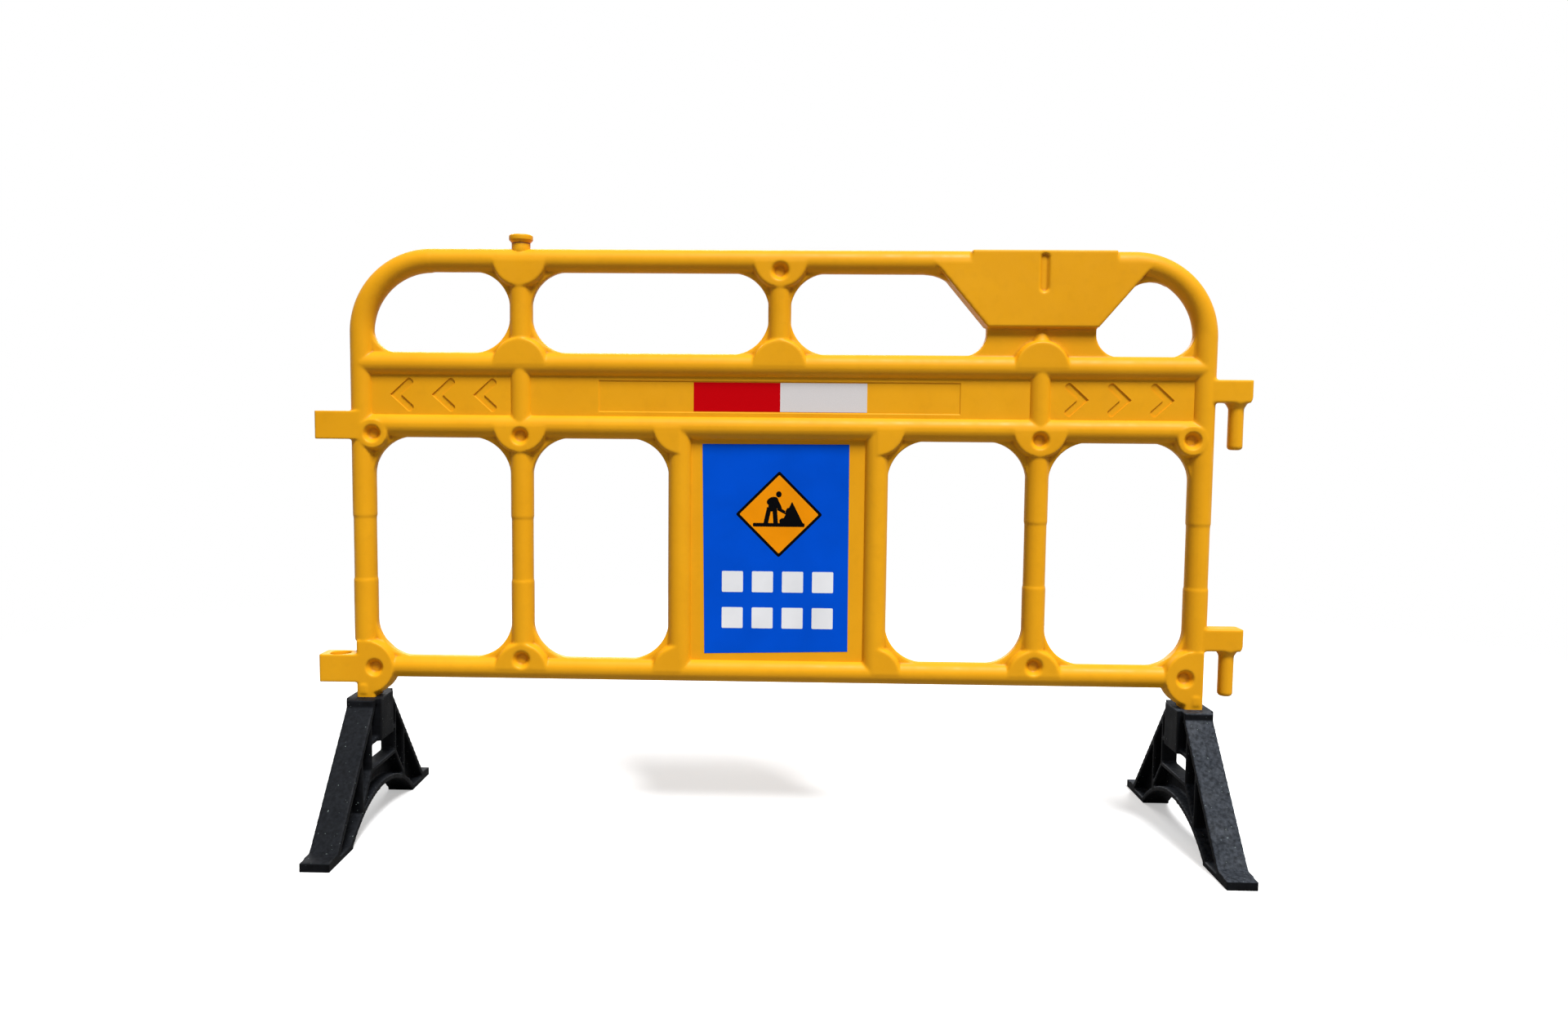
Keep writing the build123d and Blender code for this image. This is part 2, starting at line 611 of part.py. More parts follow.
def foot():
    """The right foot: straps and arch round a thin web, a socket, and ribs on its inner side."""
    outline = foot_outline()
    full = across(outline, FOOT_WIDTH)
    rim = full - across(offset(outline, amount=-FLANGE, kind=Kind.INTERSECTION), FOOT_WIDTH)
    shelf_z = SOCKET_BOTTOM + RIB / 2
    ribs = (strut((-INNER_RIB_Y, BRACE_Z), (INNER_RIB_Y, BRACE_Z), FOOT_WIDTH)
            + strut((-INNER_RIB_Y, shelf_z), (INNER_RIB_Y, shelf_z), FOOT_WIDTH))
    for hand in (-1, 1):
        inner = (hand * INNER_RIB_Y, BRACE_Z)
        ribs = ribs + strut(inner, (inner[0], FOOT_HEIGHT), FOOT_WIDTH)
        ribs = ribs + strut(inner, (hand * OUTER_RIB_Y, DIAGONAL_END_Z), FOOT_WIDTH)
        ribs = ribs + strut((hand * OUTER_RIB_Y, 0), (hand * OUTER_RIB_Y, FOOT_HEIGHT), FOOT_WIDTH)
    socket = box(-SOCKET_WIDTH / 2, SOCKET_WIDTH / 2, -SOCKET_LENGTH / 2, SOCKET_LENGTH / 2,
                 SOCKET_BOTTOM, FOOT_HEIGHT)
    half_width = TONGUE_WIDTH / 2 + TONGUE_CLEARANCE
    half_depth = POST_FACE + TONGUE_CLEARANCE
    hole = box(-half_width, half_width, -half_depth, half_depth, TONGUE_BOTTOM, FOOT_HEIGHT)
    hole = fillet(hole.edges().filter_by(Axis.Z), TONGUE_ROUND)
    window = box(-FOOT_WIDTH, FOOT_WIDTH, RIB / 2 - INNER_RIB_Y, INNER_RIB_Y - RIB / 2,
                 BRACE_Z + RIB / 2, SOCKET_BOTTOM)
    inner_side = box(-FOOT_WIDTH / 2, 0, -FOOT_LENGTH, FOOT_LENGTH, 0, FOOT_HEIGHT)
    shape = across(outline, FOOT_WEB) + rim + (ribs & full & inner_side) + socket
    return Pos(FOOT_X, 0, 0) * (shape - hole - window)


# Films

def film(x0, x1, z0, z1, back_y):
    """A thin film on a face that looks to the front."""
    return box(x0, x1, back_y - FILM_THICKNESS, back_y, z0, z1)


def save(name, *shapes):
    """Write one piece, or one group of like pieces, to its own file."""
    found = [solid for shape in shapes for solid in solids_of(shape)]
    whole = found[0] if len(found) == 1 else Compound(found)
    whole.label = name
    export_step(whole, os.path.join("parts", name + ".step"))
    print(name, len(found), "solids", round(sum(s.volume for s in found) / 1000, 1), "cm3")


os.makedirs("parts", exist_ok=True)

# Outsides, used to trim whatever meets them
sides = {"left": -1, "right": 1}
posts = {side: on_side(hand, post_outside()) for side, hand in sides.items()}
both_posts = list(posts.values())
bends = [on_side(hand, bend_outside()) for hand in sides.values()]
lamp = slab(lamp_outline(0), LAMP_Y)

top_bosses = [(-UPRIGHT_X, False, 0, False), (0, False, 0, True)]
band_top_bosses = [(-UPRIGHT_X, True, 0, False), (0, True, 0, False), (UPRIGHT_X, True, 0, False)]
band_bottom_bosses = [(-UPRIGHT_X, False, 0, True), (UPRIGHT_X, False, 0, True),
                      (-SIGN_UPRIGHT_X, False, -1, False), (SIGN_UPRIGHT_X, False, 1, False)]
bottom_bosses = [(x, not up, hand, dimpled) for x, up, hand, dimpled in band_bottom_bosses]

top_run = (-BEND_X, LAMP_X)
between_posts = (-POST_X, POST_X)
top_rail_outside = rail_outside(*top_run, TOP_RAIL_Z, TOP_R, top_bosses)
band_top_outside = rail_outside(*between_posts, BAND_TOP_Z, BAND_R, band_top_bosses)
band_bottom_outside = rail_outside(*between_posts, BAND_BOTTOM_Z, BAND_R, band_bottom_bosses)
bottom_outside = rail_outside(*between_posts, BOTTOM_RAIL_Z, BOTTOM_R, bottom_bosses)

# Rails, posts and bends
top_rail = rail(*top_run, TOP_RAIL_Z, TOP_R, top_bosses, [lamp])
save("top_rail", top_rail - neck_bore(PANEL_TOP))
save("band_top_rail", rail(*between_posts, BAND_TOP_Z, BAND_R, band_top_bosses, both_posts))
save("band_bottom_rail", rail(*between_posts, BAND_BOTTOM_Z, BAND_R, band_bottom_bosses, both_posts))
save("bottom_rail", rail(*between_posts, BOTTOM_RAIL_Z, BOTTOM_R, bottom_bosses, both_posts))
save("top_rail_bosses", *rail_bosses(TOP_RAIL_Z, TOP_R, top_bosses))
save("band_top_bosses", *rail_bosses(BAND_TOP_Z, BAND_R, band_top_bosses))
save("band_bottom_bosses", *rail_bosses(BAND_BOTTOM_Z, BAND_R, band_bottom_bosses))
save("bottom_rail_bosses", *rail_bosses(BOTTOM_RAIL_Z, BOTTOM_R, bottom_bosses))
for side, hand in sides.items():
    save(side + "_post", on_side(hand, post()))
    save(side + "_post_bosses", *[on_side(hand, boss) for boss in post_bosses()])
save("left_bend", on_side(-1, bend_outside() - bend_outside(WALL)))
save("right_bend", right_bend(lamp))

# Uprights
side_x = {"left": -UPRIGHT_X, "right": UPRIGHT_X}
sign_x = {"left": -SIGN_UPRIGHT_X, "right": SIGN_UPRIGHT_X}
top_row = [top_rail_outside, band_top_outside]
band_row = [band_top_outside, band_bottom_outside]
low_row = [band_bottom_outside, bottom_outside]
save("top_upright_left", upright(-UPRIGHT_X, BAND_TOP_Z, TOP_RAIL_Z, UPRIGHT_R, top_row))
save("top_upright_middle", upright(0, BAND_TOP_Z, TOP_RAIL_Z, UPRIGHT_R, top_row))
for side, x in side_x.items():
    save("band_upright_" + side, upright(x, BAND_BOTTOM_Z, BAND_TOP_Z, UPRIGHT_R, band_row))
    save("low_upright_" + side, upright(x, BOTTOM_RAIL_Z, BAND_BOTTOM_Z, UPRIGHT_R, low_row, True))
for side, x in sign_x.items():
    save("sign_upright_" + side, upright(x, BOTTOM_RAIL_Z, BAND_BOTTOM_Z, SIGN_R, low_row))

# Recessed panels of the band, with chevrons or the bed for the films
band_uprights = {side: rod_z(x, BAND_BOTTOM_Z, BAND_TOP_Z, UPRIGHT_R) for side, x in side_x.items()}
for side, hand in sides.items():
    ends = sorted((hand * POST_X, hand * UPRIGHT_X))
    panel = hollow_panel(*ends, BAND_BOTTOM_Z, BAND_TOP_Z, BAND_Y,
                         band_row + [posts[side], band_uprights[side]])
    tips = [hand * (POST_OUT - CHEVRON_FIRST - i * CHEVRON_PITCH) for i in range(CHEVRON_COUNT)]
    save("band_panel_" + side, cut(panel, [chevron(tip, hand) for tip in tips]))
bed_x = TAPE_BED_LENGTH / 2
bed_bottom = BAND_MID_Z - TAPE_BED_HEIGHT / 2
bed_face = TAPE_BED_DEPTH - BAND_Y
middle_panel = hollow_panel(-UPRIGHT_X, UPRIGHT_X, BAND_BOTTOM_Z, BAND_TOP_Z, BAND_Y,
                            band_row + list(band_uprights.values()))
save("band_panel_middle", middle_panel - box(-bed_x, bed_x, -BAND_Y, bed_face,
                                             bed_bottom, bed_bottom + TAPE_BED_HEIGHT))
sign_uprights = [rod_z(x, BOTTOM_RAIL_Z, BAND_BOTTOM_Z, SIGN_R) for x in sign_x.values()]
save("sign_panel", hollow_panel(-SIGN_UPRIGHT_X, SIGN_UPRIGHT_X, BOTTOM_RAIL_Z, BAND_BOTTOM_Z, SIGN_Y,
                                low_row + sign_uprights))

# Lamp plate and the web under it
save("lamp_plate", lamp_plate())
save("lamp_web", lamp_web([band_top_outside]))

# Corner webs of the windows
top_uprights = [rod_z(x, BAND_TOP_Z, TOP_RAIL_Z, UPRIGHT_R) for x in (-UPRIGHT_X, 0)]
low_uprights = [rod_z(x, BOTTOM_RAIL_Z, BAND_BOTTOM_Z, UPRIGHT_R) for x in side_x.values()]
top_trim = top_row + top_uprights + both_posts + bends
low_trim = low_row + low_uprights + sign_uprights + both_posts
ceiling = TOP_RAIL_Z - TOP_R
sill = BAND_TOP_Z + BAND_R
post_edge = POST_OUT - POST_DIA
top_windows = {
    "top_webs_outer_left": [(-UPRIGHT_X - UPRIGHT_R, ceiling, -1, -1, TOP_WEB_RADIUS),
                            (-UPRIGHT_X - UPRIGHT_R, sill, -1, 1, TOP_WEB_RADIUS),
                            (-post_edge, sill, 1, 1, POST_WEB_RADIUS)],
    "top_webs_inner_left": [(-UPRIGHT_X + UPRIGHT_R, ceiling, 1, -1, TOP_WEB_RADIUS),
                            (-UPRIGHT_X + UPRIGHT_R, sill, 1, 1, TOP_WEB_RADIUS),
                            (-UPRIGHT_R, ceiling, -1, -1, TOP_WEB_RADIUS),
                            (-UPRIGHT_R, sill, -1, 1, TOP_WEB_RADIUS)],
    "top_webs_inner_right": [(UPRIGHT_R, ceiling, 1, -1, TOP_WEB_RADIUS),
                             (UPRIGHT_R, sill, 1, 1, TOP_WEB_RADIUS)],
    "top_webs_outer_right": [(post_edge, sill, -1, 1, POST_WEB_RADIUS)],
}
lamp_trim = top_trim + [lamp, rod_x(LAMP_X, BEND_X, BEND_Z + BEND_MID_R, POST_R)]
lamp_corners = {
    "top_webs_inner_right": lamp_corner_web(-1, TOP_WEB_RADIUS, ceiling, 0, lamp_trim),
    "top_webs_outer_right": lamp_corner_web(1, LAMP_CORNER_RADIUS, ceiling - LAMP_CORNER_DROP,
                                            LAMP_CORNER_RADIUS / 2, lamp_trim),
}
for name, corners in top_windows.items():
    beside_lamp = [lamp_corners[name]] if name in lamp_corners else []
    save(name, *window_webs(corners, top_trim), *beside_lamp)
low_ceiling = BAND_BOTTOM_Z - BAND_R
low_sill = BOTTOM_RAIL_Z + BOTTOM_R
low_windows = {
    "low_webs_outer_left": (-post_edge, -UPRIGHT_X - UPRIGHT_R),
    "low_webs_inner_left": (-UPRIGHT_X + UPRIGHT_R, -SIGN_UPRIGHT_X - SIGN_R),
    "low_webs_inner_right": (SIGN_UPRIGHT_X + SIGN_R, UPRIGHT_X - UPRIGHT_R),
    "low_webs_outer_right": (UPRIGHT_X + UPRIGHT_R, post_edge),
}
for name, (left, right) in low_windows.items():
    corners = [(x, z, hand_x, hand_z, LOW_WEB_RADIUS)
               for x, hand_x in ((left, 1), (right, -1))
               for z, hand_z in ((low_ceiling, -1), (low_sill, 1))]
    save(name, *window_webs(corners, low_trim))

# Links, filler, films and feet
for level, bottom in (("upper", LUG_BOTTOM_UPPER), ("lower", LUG_BOTTOM_LOWER)):
    save("link_lug_" + level, link_lug(bottom, [posts["left"]]))
    save("link_hook_" + level, link_hook(bottom, [posts["right"]]))
save("filler_neck", filler_neck([top_rail_outside]))
save("cap_seal", cap_seal())
save("filler_cap", filler_cap())
tape_bottom = BAND_MID_Z - TAPE_HEIGHT / 2
save("tape_red", film(TAPE_SHIFT - TAPE_HALF_LENGTH, TAPE_SHIFT, tape_bottom,
                      tape_bottom + TAPE_HEIGHT, bed_face))
save("tape_white", film(TAPE_SHIFT, TAPE_SHIFT + TAPE_HALF_LENGTH, tape_bottom,
                        tape_bottom + TAPE_HEIGHT, bed_face))
save("sign_film", film(-SIGN_X, SIGN_X, SIGN_BOTTOM, SIGN_TOP, -SIGN_Y))
for side, hand in sides.items():
    save(side + "_foot", on_side(hand, foot()))
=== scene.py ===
# %% [markdown]
# # Plastic safety barrier
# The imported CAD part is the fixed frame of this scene. The real panel is one blow-moulding, so its
# tube nodes are melted here into one soft-edged skin, the flat panels keep crisp pressed edges, the
# feet get rounded moulded edges, and the films get their print. Everything keeps its place in the
# CAD frame: X along the barrier, the front at -Y, Z up, in metres.

# %% Load the frame
import json
import bpy
from math import atan2, cos, hypot, pi, sin
from mathutils import Matrix, Vector

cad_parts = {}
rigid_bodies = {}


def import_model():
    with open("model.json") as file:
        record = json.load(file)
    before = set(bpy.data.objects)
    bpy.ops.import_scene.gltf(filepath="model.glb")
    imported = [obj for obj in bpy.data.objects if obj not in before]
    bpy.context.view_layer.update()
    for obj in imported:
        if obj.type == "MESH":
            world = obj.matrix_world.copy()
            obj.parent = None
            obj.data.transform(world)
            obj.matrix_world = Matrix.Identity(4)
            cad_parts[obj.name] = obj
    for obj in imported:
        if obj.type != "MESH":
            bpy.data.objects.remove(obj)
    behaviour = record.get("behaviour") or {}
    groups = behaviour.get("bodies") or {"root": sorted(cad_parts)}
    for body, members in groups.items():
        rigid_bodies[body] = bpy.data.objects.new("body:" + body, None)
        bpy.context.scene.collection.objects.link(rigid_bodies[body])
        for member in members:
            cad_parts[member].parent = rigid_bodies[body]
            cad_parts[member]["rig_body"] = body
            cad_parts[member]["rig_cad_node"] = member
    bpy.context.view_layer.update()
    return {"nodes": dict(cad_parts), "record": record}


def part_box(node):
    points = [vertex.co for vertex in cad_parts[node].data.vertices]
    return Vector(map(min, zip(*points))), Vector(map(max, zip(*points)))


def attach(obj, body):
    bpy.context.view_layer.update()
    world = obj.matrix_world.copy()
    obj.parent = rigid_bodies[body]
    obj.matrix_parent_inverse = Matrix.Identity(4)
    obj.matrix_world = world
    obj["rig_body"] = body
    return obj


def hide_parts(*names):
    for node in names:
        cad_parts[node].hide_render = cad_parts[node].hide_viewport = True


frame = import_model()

nodes = frame["nodes"]
films = ["sign_film", "tape_red", "tape_white"]
flats = ["band_panel_left", "band_panel_middle", "band_panel_right", "sign_panel"]
apart = films + flats + ["filler_neck"]
tubes = [name for name in frame["record"]["behaviour"]["bodies"]["panel"] if name not in apart]

# %% [markdown]
# ## Helpers
# An operator acts on whatever is selected, so `only` makes a clean selection before each one.
# `copy_of` gives one new mesh made of copies of CAD nodes. Their triangles arrive loose, so the
# copy is welded. `apply` adds a modifier and applies it at once, as the Ctrl-A key would.

# %% Selection and modifier helpers
WELD = 0.00001


def only(*objects):
    """Leave edit mode and select these objects and nothing else; the first is active."""
    if bpy.context.mode != "OBJECT":
        bpy.ops.object.mode_set(mode="OBJECT")
    bpy.ops.object.select_all(action="DESELECT")
    for item in objects:
        item.select_set(True)
    bpy.context.view_layer.objects.active = objects[0]
    return objects[0]


def weld():
    """In edit mode, merge loose points and turn all faces outward; then leave edit mode."""
    bpy.ops.mesh.select_all(action="SELECT")
    bpy.ops.mesh.remove_doubles(threshold=WELD)
    bpy.ops.mesh.normals_make_consistent(inside=False)
    bpy.ops.object.mode_set(mode="OBJECT")


def copy_of(name, node_names):
    """One new mesh object made of copies of CAD nodes."""
    only(*[nodes[n] for n in node_names])
    bpy.ops.object.duplicate()
    bpy.ops.object.parent_clear(type="CLEAR")
    if len(node_names) > 1:
        bpy.ops.object.join()
    made = bpy.context.object
    made.name = name
    made.data.materials.clear()
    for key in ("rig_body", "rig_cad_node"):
        del made[key]
    bpy.ops.object.mode_set(mode="EDIT")
    weld()
    return made


def apply(item, kind, **settings):
    """Add one modifier with these settings and apply it."""
    only(item)
    bpy.ops.object.modifier_add(type=kind)
    modifier = item.modifiers[-1]
    for key, value in settings.items():
        setattr(modifier, key, value)
    bpy.ops.object.modifier_apply(modifier=modifier.name)
    return item


def join(name, parts):
    """Join objects into one and name it."""
    only(*parts)
    bpy.ops.object.join()
    parts[0].name = name
    return parts[0]


def pick(item, what, test):
    """Select the vertices, edges or faces of a mesh that pass a test, and stay in edit mode."""
    only(item)
    bpy.ops.object.mode_set(mode="EDIT")
    bpy.ops.mesh.select_mode(type={"vertices": "VERT", "edges": "EDGE", "polygons": "FACE"}[what])
    bpy.ops.mesh.select_all(action="DESELECT")
    bpy.ops.object.mode_set(mode="OBJECT")
    for element in getattr(item.data, what):
        element.select = test(element)
    bpy.ops.object.mode_set(mode="EDIT")


print("helpers ready")

# %% [markdown]
# ## Materials
# All textures are procedural and use Object coordinates, so they stay with the piece as it moves.


# %% Material helpers
def new_material(name, colour, roughness, specular=0.5):
    """A principled material, with its tree, shader and Object coordinates."""
    material = bpy.data.materials.new(name)
    material.use_nodes = True
    tree = material.node_tree
    shader = tree.nodes["Principled BSDF"]
    shader.inputs["Base Color"].default_value = (*colour, 1)
    shader.inputs["Roughness"].default_value = roughness
    shader.inputs["Specular IOR Level"].default_value = specular
    place = tree.nodes.new("ShaderNodeTexCoord").outputs["Object"]
    return material, tree, shader, place


def noise(tree, place, scale, detail=3.0):
    """A noise texture's value at a scale."""
    node = tree.nodes.new("ShaderNodeTexNoise")
    node.inputs["Scale"].default_value = scale
    node.inputs["Detail"].default_value = detail
    tree.links.new(place, node.inputs["Vector"])
    return node.outputs["Fac"]


def ramp(tree, value, stops):
    """Colours by value: stops are (position, colour)."""
    node = tree.nodes.new("ShaderNodeValToRGB")
    for stop, (position, colour) in zip(node.color_ramp.elements, stops):
        stop.position = position
        stop.color = (*colour, 1)
    tree.links.new(value, node.inputs["Fac"])
    return node.outputs["Color"]


def mottle(tree, place, scale, stops, detail=3.0):
    """Colours that change from place to place: a ramp over noise."""
    return ramp(tree, noise(tree, place, scale, detail), stops)


def mix(tree, blend, value, first, second):
    """Two colours put together; value is a number or a socket."""
    node = tree.nodes.new("ShaderNodeMix")
    node.data_type = "RGBA"
    node.blend_type = blend
    if isinstance(value, float):
        node.inputs["Factor"].default_value = value
    else:
        tree.links.new(value, node.inputs["Factor"])
    tree.links.new(first, node.inputs["A"])
    tree.links.new(second, node.inputs["B"])
    return node.outputs["Result"]


def along(tree, vector, axis):
    """One axis of a vector."""
    node = tree.nodes.new("ShaderNodeSeparateXYZ")
    tree.links.new(vector, node.inputs["Vector"])
    return node.outputs[axis]


def bump(tree, shader, height, strength, distance):
    """A bump from a height value."""
    node = tree.nodes.new("ShaderNodeBump")
    node.inputs["Strength"].default_value = strength
    node.inputs["Distance"].default_value = distance
    tree.links.new(height, node.inputs["Height"])
    tree.links.new(node.outputs["Normal"], shader.inputs["Normal"])


def grey(level):
    """A grey colour."""
    return (level,) * 3


print("material helpers ready")

# %% [markdown]
# ### Yellow polyethylene
# Blow-moulded polyethylene is coloured right through, a little cloudy, and has a soft satin gloss
# that changes from place to place. Two scales of noise give the cloud and the scuffs, a third the
# gloss, and a very fine one gives the sand-blasted skin of the mould. The creases of the tubes,
# which Pointiness finds on their fine mesh, get painted shade: a darker, more orange colour there.


# %% Yellow polyethylene
def polyethylene(name, creased):
    """The yellow of the moulding, with or without painted shade in its creases."""
    material, tree, shader, place = new_material(name, (0.8, 0.36, 0.006), 0.42, 0.16)
    cloud = mottle(tree, place, 7.0, [(0.3, (0.77, 0.34, 0.005)), (0.7, (0.83, 0.38, 0.007))])
    scuff = mottle(tree, place, 60.0, [(0.25, grey(0.96)), (0.5, grey(1.0))], 5.0)
    gloss = mottle(tree, place, 40.0, [(0.3, grey(0.4)), (0.7, grey(0.55))])
    colour = mix(tree, "MULTIPLY", 1.0, cloud, scuff)
    # Painted shade: where Pointiness finds a crease, the colour is multiplied darker and more orange.
    if creased:
        crease = tree.nodes.new("ShaderNodeNewGeometry").outputs["Pointiness"]
        crease_shade = ramp(tree, crease, [(0.45, (0.55, 0.4, 0.18)), (0.49, grey(1.0))])
        colour = mix(tree, "MULTIPLY", 1.0, colour, crease_shade)
    tree.links.new(colour, shader.inputs["Base Color"])
    tree.links.new(gloss, shader.inputs["Roughness"])
    bump(tree, shader, noise(tree, place, 300.0, 2.0), 0.05, 0.0006)
    return material


yellow = polyethylene("yellow_polyethylene", False)
yellow_tubes = polyethylene("yellow_tubes", True)
print("yellow ready")

# %% [markdown]
# ### Black feet
# The feet are moulded from dark reground plastic: black in the hollows, dusty blue-grey on the faces
# that look up, with a few pale flecks. The Normal output in the piece's own space tells which
# way a face looks, so the dust stays on the same faces wherever the camera stands. The foot on the
# right is the dustier one.

# %% Black feet
foot_plastic, tree, shader, place = new_material("black_foot", (0.02, 0.021, 0.024), 0.62, 0.07)
normal = place.node.outputs["Normal"]
upward = ramp(tree, along(tree, normal, "Z"), [(0.1, grey(0.0)), (0.5, grey(1.0))])
dustier = ramp(tree, along(tree, place, "X"), [(0.0, grey(0.18)), (0.5, grey(1.0))])
dark = mottle(tree, place, 90.0, [(0.35, (0.002, 0.0022, 0.0027)), (0.7, (0.005, 0.0055, 0.007))], 4.0)
dusty = mottle(tree, place, 170.0, [(0.35, (0.0115, 0.014, 0.018)), (0.7, (0.048, 0.055, 0.068))], 6.0)
fleck = mottle(tree, place, 320.0, [(0.825, grey(0.0)), (0.835, (0.12, 0.15, 0.14))], 0.0)
gloss = mottle(tree, place, 25.0, [(0.35, grey(0.5)), (0.7, grey(0.72))])
dust = mix(tree, "MULTIPLY", 1.0, upward, dustier)
body_colour = mix(tree, "MIX", dust, dark, dusty)
tree.links.new(mix(tree, "ADD", 1.0, body_colour, fleck), shader.inputs["Base Color"])
tree.links.new(gloss, shader.inputs["Roughness"])
bump(tree, shader, noise(tree, place, 500.0, 3.0), 0.3, 0.0006)
print("foot material ready")

# %% [markdown]
# ### Films and seal
# Printed film is smooth with a faint unevenness where it follows the moulding. The reflective
# strip has a fine bead texture under its face.

# %% Films and seal
PRINT, BEADS = 12.0, 900.0
SATIN, MATT, SMOOTH = 0.32, 0.5, 0.28


def film_material(name, colour, roughness, fine):
    """A printed film; fine is the scale of the texture under its face."""
    material, tree, shader, place = new_material(name, colour, roughness, 0.03)
    darker = tuple(0.88 * c for c in colour)
    tint = mottle(tree, place, fine, [(0.3, darker), (0.65, colour)])
    gloss = mottle(tree, place, 30.0, [(0.3, grey(roughness)), (0.7, grey(roughness + 0.15))])
    tree.links.new(tint, shader.inputs["Base Color"])
    tree.links.new(gloss, shader.inputs["Roughness"])
    bump(tree, shader, noise(tree, place, 18.0, 1.0), 0.05, 0.002)
    return material


blue = film_material("film_blue", (0.0003, 0.081, 0.66), SATIN, PRINT)
amber = film_material("film_amber", (0.945, 0.31, 0.003), SATIN, PRINT)
black = film_material("film_black", (0.0015, 0.0015, 0.002), MATT, PRINT)
white = film_material("film_white", (0.86, 0.87, 0.9), SATIN, PRINT)
strip_red = film_material("strip_red", (0.57, 0.001, 0.004), SMOOTH, BEADS)
strip_white = film_material("strip_white", (0.71, 0.68, 0.68), SMOOTH, BEADS)
seal, tree, shader, place = new_material("seal_orange", (0.35, 0.10, 0.01), 0.55)
bump(tree, shader, noise(tree, place, 400.0), 0.1, 0.0005)
print("films and seal ready")

# %% [markdown]
# ## The moulded tubes
# The barrier's tubes, bosses, webs, lugs and hooks are one skin on the real thing, with soft
# inside corners. Copies of their nodes are joined and a voxel remesh melts them together, then a
# little smoothing rounds the edges. Only the outer skin is kept. The top rail is open under the
# filler neck, so a small well closes its hollow there and leaves room for the stem of the cap.

# %% A well below the filler neck
WELL_RADIUS, WELL_WALL, WELL_DEPTH, WELL_ROOM = 0.0165, 0.004, 0.03, 0.001
neck_low, neck_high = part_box("filler_neck")
stem_low, stem_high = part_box("filler_cap")
neck_x = (neck_low.x + neck_high.x) / 2
well_top = stem_low.z + WELL_ROOM
bpy.ops.mesh.primitive_cylinder_add(vertices=48, radius=WELL_RADIUS, depth=WELL_DEPTH,
                                    location=(neck_x, 0, well_top - WELL_DEPTH / 2))
well = bpy.context.object
bpy.ops.object.transform_apply(location=True, rotation=False, scale=False)
pick(well, "polygons", lambda f: f.normal.z > 0.9)
bpy.ops.mesh.inset(thickness=WELL_WALL)
bpy.ops.mesh.extrude_region_move(TRANSFORM_OT_translate={"value": (0, 0, WELL_WALL - WELL_DEPTH)})
weld()
print("well with", len(well.data.polygons), "faces")

# %% Melt the nodes together
TUBE_VOXEL = 0.0021


def melt(item, voxel):
    """Melt a mesh into one skin, then round its edges a little."""
    apply(item, "REMESH", mode="VOXEL", voxel_size=voxel)
    return apply(item, "SMOOTH", factor=0.5, iterations=3)


skin = melt(join("moulding", [copy_of("moulding", tubes), well]), TUBE_VOXEL)
only(skin)
bpy.ops.mesh.separate(type="LOOSE")
shells = sorted(bpy.context.selected_objects, key=lambda o: len(o.data.vertices))
skin = shells.pop()
if shells:
    only(*shells)
    bpy.ops.object.delete()
print("skin with", len(skin.data.polygons), "faces")

# %% [markdown]
# ### Five pieces
# The skin is divided across straight tubes, so that no piece is too heavy. The shared edge stays
# in the same place on both sides, so the joint doesn't show.

# %% Divide the skin
CUT_Z, CUT_LEFT, CUT_RIGHT = 0.62, -0.3, 0.23


def split_off(item, name, test):
    """Move the faces whose centre passes a test into a new object."""
    pick(item, "polygons", lambda f: test(f.center))
    bpy.ops.mesh.separate(type="SELECTED")
    bpy.ops.object.mode_set(mode="OBJECT")
    made = [o for o in bpy.context.selected_objects if o is not item][0]
    made.name = name
    return made


def finish(piece, material, body, smooth=True):
    """Give a piece its material, shading and body."""
    piece.data.materials.clear()
    piece.data.materials.append(material)
    only(piece)
    if smooth:
        bpy.ops.object.shade_smooth()
    else:
        bpy.ops.object.shade_flat()
    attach(piece, body)
    print(piece.name, sum(len(f.vertices) - 2 for f in piece.data.polygons), "triangles")


lower_left = split_off(skin, "moulding_lower_left", lambda c: c.z < CUT_Z and c.x < 0)
lower_right = split_off(skin, "moulding_lower_right", lambda c: c.z < CUT_Z)
upper_left = split_off(skin, "moulding_upper_left", lambda c: c.x < CUT_LEFT)
upper_right = split_off(skin, "moulding_upper_right", lambda c: c.x > CUT_RIGHT)
skin.name = "moulding_upper_middle"
for piece in (skin, lower_left, lower_right, upper_left, upper_right):
    finish(piece, yellow_tubes, "panel")
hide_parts(*tubes)

# %% [markdown]
# ## Flat panels
# The band and the sign panel are pressed between the tubes. Their arrows and the bed of the strip
# have crisp, shallow edges, which a remesh would wash out. So each panel keeps its CAD faces, its rim
# sinks a little into the tubes round it, and a fine bevel catches the light along every edge.

# %% Crisp panels
RIM, SINK, PRESSED_EDGE = 0.003, 0.0015, 0.001
FLAT_ANGLE, SHARP_ANGLE = 0.01, 0.5


def bevel(item, width):
    """A fine bevel along every sharp edge."""
    return apply(item, "BEVEL", width=width, segments=2, limit_method="ANGLE", angle_limit=SHARP_ANGLE)


for name in flats:
    panel = copy_of(name + "_pressed", [name])
    low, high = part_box(name)
    bpy.ops.object.mode_set(mode="EDIT")
    bpy.ops.mesh.select_all(action="SELECT")
    bpy.ops.mesh.dissolve_limited(angle_limit=FLAT_ANGLE)
    for axis in (0, 2):
        for edge, way in ((low[axis], -1), (high[axis], 1)):
            pick(panel, "vertices", lambda v: abs(v.co[axis] - edge) < RIM)
            bpy.ops.transform.translate(value=[way * SINK if i == axis else 0 for i in range(3)])
    bpy.ops.object.mode_set(mode="OBJECT")
    bevel(panel, PRESSED_EDGE)
    finish(panel, yellow, "panel", smooth=False)
    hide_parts(name)

# %% [markdown]
# ## Feet
# The feet are thick mouldings with worn edges, so a fine remesh and a little smoothing do.

